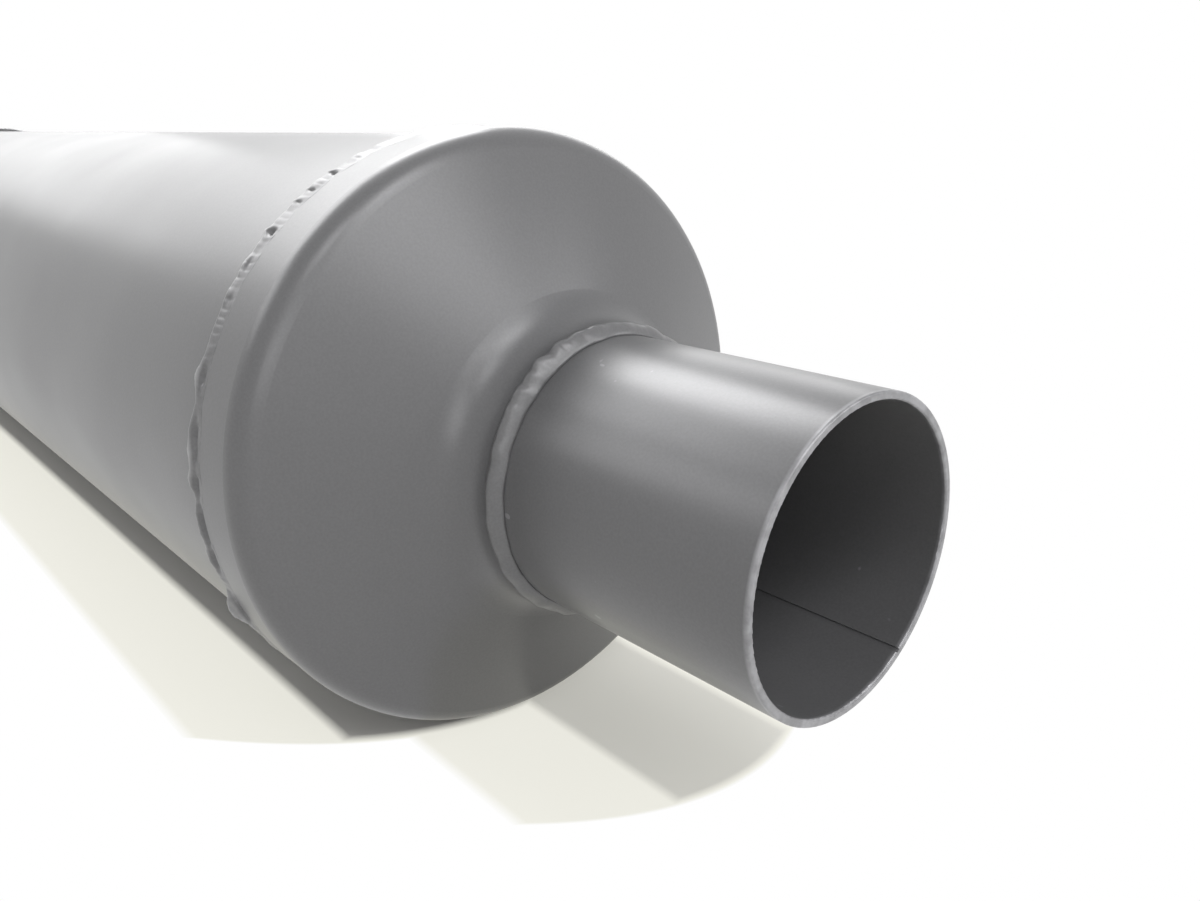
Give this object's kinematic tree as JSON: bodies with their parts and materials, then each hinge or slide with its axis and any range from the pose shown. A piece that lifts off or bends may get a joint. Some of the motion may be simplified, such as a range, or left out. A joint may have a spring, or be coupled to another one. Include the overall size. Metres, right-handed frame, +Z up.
{
  "type": "exhaust muffler",
  "caption": "Round exhaust muffler with spun cone heads, raised weld beads and a plain pipe neck at each end.",
  "frame": {"origin": "centre of the inlet neck's rim, on the muffler's axis", "axes": "+X along the axis from the inlet neck to the outlet neck, +Z up as it lies on its side"},
  "size_m": [0.856, 0.183, 0.183],
  "materials": {
    "grey_paint": "heat resistant grey paint, semi-matt",
    "grey_paint_neck": "heat resistant grey paint, semi-matt, thinner inside the bore",
    "painted_weld": "grey paint over a rippled weld bead",
    "bare_steel": "bare mill finish steel",
    "steel_wool": "matted steel wool",
    "fibre_packing": "long strand mineral fibre"
  },
  "bodies": {
    "root": {"shell": "grey_paint", "shell_seam_weld": "painted_weld", "inlet_head": "grey_paint", "outlet_head": "grey_paint", "inlet_neck": "grey_paint_neck", "outlet_neck": "grey_paint_neck", "inlet_neck_weld": "painted_weld", "outlet_neck_weld": "painted_weld", "inlet_shell_weld": "painted_weld", "outlet_shell_weld": "painted_weld", "perforated_core": "bare_steel", "core_weld": "bare_steel", "inlet_baffle": "bare_steel", "centre_baffle": "bare_steel", "outlet_baffle": "bare_steel", "inlet_baffle_tacks": "bare_steel", "centre_baffle_tacks": "bare_steel", "outlet_baffle_tacks": "bare_steel", "front_steel_wool": "steel_wool", "rear_steel_wool": "steel_wool", "front_fibre_packing": "fibre_packing", "rear_fibre_packing": "fibre_packing"}
  },
  "joints": []
}
